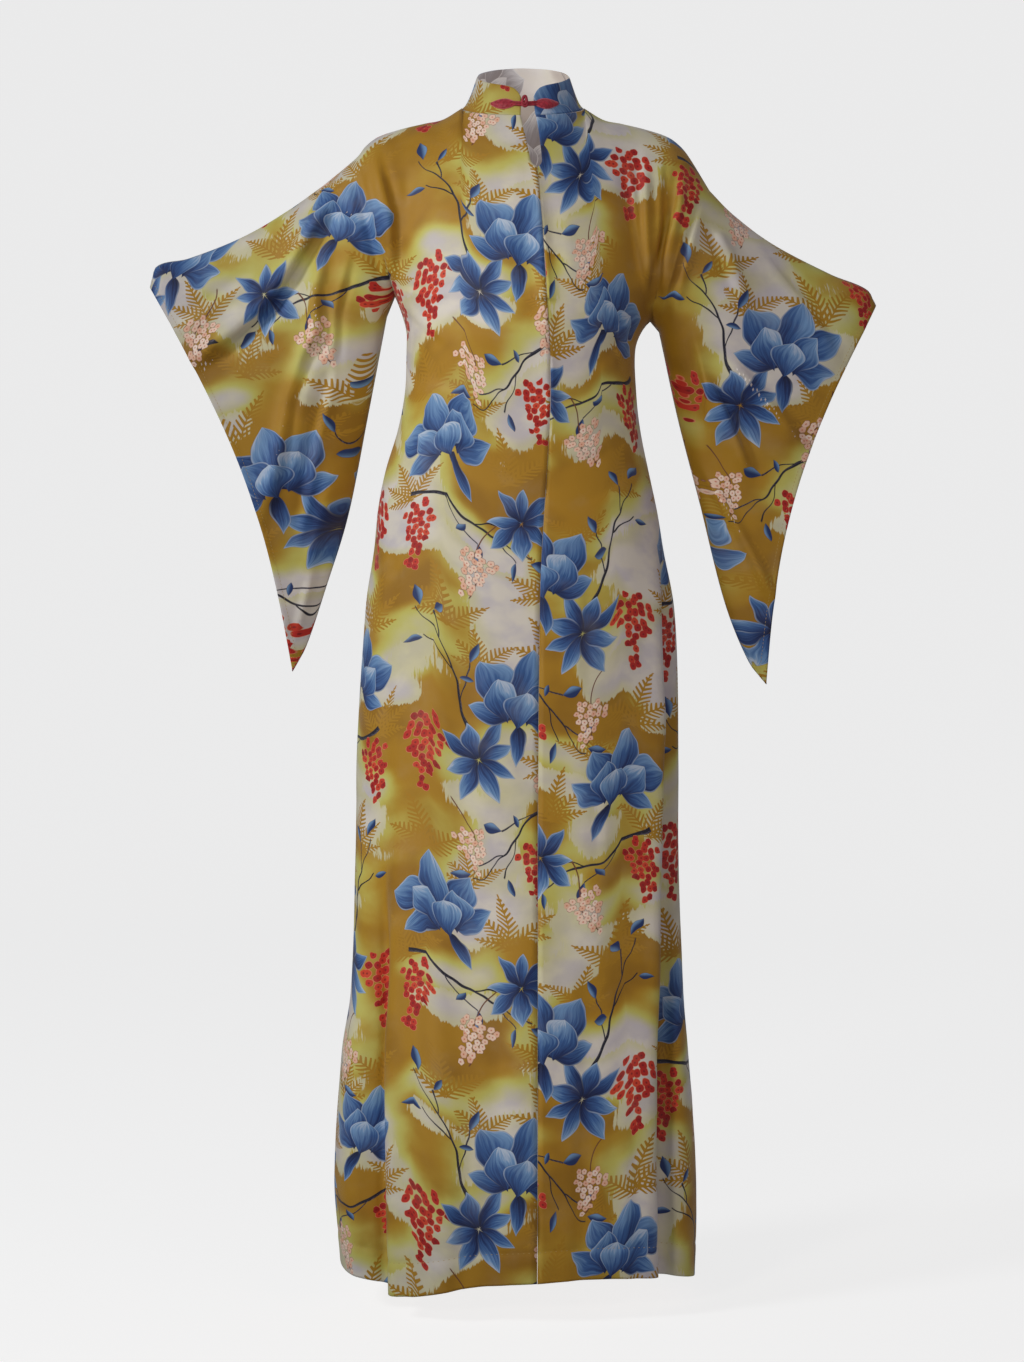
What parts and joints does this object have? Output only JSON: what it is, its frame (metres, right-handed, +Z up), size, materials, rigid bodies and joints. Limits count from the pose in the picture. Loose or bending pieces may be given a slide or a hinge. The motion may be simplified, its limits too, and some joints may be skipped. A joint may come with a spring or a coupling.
{
  "type": "floor-length muumuu dress",
  "caption": "Hollow floor-length printed dress with a stand collar, a front keyhole under a knotted closure, and wide angel sleeves cut in one with the body.",
  "frame": {"origin": "between the wearer's shoulders, level with the foot of the collar, where the shoulders hold the dress up", "axes": "+Z up, -Y towards the front of the dress, +X towards the wearer's left"},
  "size_m": [0.907, 0.2959, 1.5177],
  "materials": {
    "printed_cloth": "light printed cloth with a soft satin sheen",
    "frog_cloth": "padded crimson satin"
  },
  "bodies": {
    "root": {"front_left": "printed_cloth", "front_right": "printed_cloth", "back": "printed_cloth", "collar": "printed_cloth", "frog_leaf_left": "frog_cloth", "frog_leaf_right": "frog_cloth", "frog_knot": "frog_cloth"}
  },
  "joints": []
}
